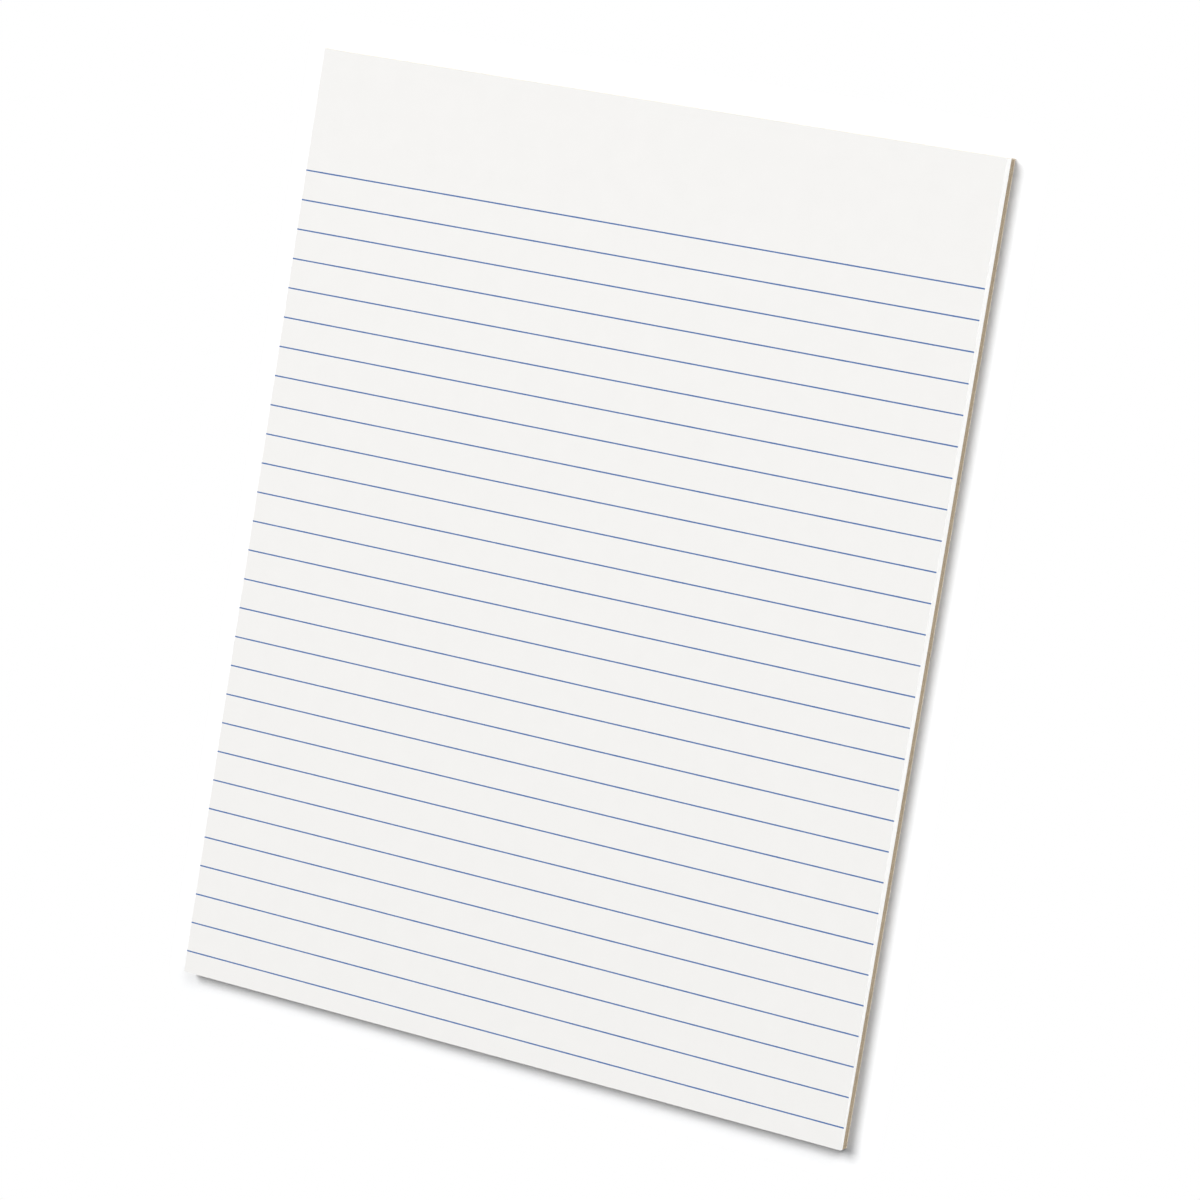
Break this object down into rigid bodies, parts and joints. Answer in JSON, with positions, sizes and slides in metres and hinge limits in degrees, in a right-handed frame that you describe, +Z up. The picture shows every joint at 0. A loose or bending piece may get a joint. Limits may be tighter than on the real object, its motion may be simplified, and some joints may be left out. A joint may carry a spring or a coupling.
{
  "type": "glue top pad",
  "caption": "Letter-size writing pad: white blue-ruled sheets with a deep blank head margin, glued along the head edge to a thick tan chipboard back.",
  "frame": {"origin": "middle of the underside, at the centre of the board's outline with the glue film counted in", "axes": "+X along the ruled lines to the reader's right, +Y towards the glued head, +Z up out of the writing face"},
  "size_m": [0.2166, 0.2804, 0.0069],
  "materials": {
    "chipboard": "raw grey-tan chipboard, matt, with fine flecks and fibres",
    "paper": "uncoated white writing paper, matt",
    "ruling_ink": "matt blue ruling ink soaked into the paper",
    "padding_glue": "dried white padding glue, satin, with brush marks along the edge"
  },
  "bodies": {
    "root": {"backing_board": "chipboard", "sheet_pile": "paper", "ruled_lines": "ruling_ink", "glue_film": "padding_glue"}
  },
  "joints": []
}
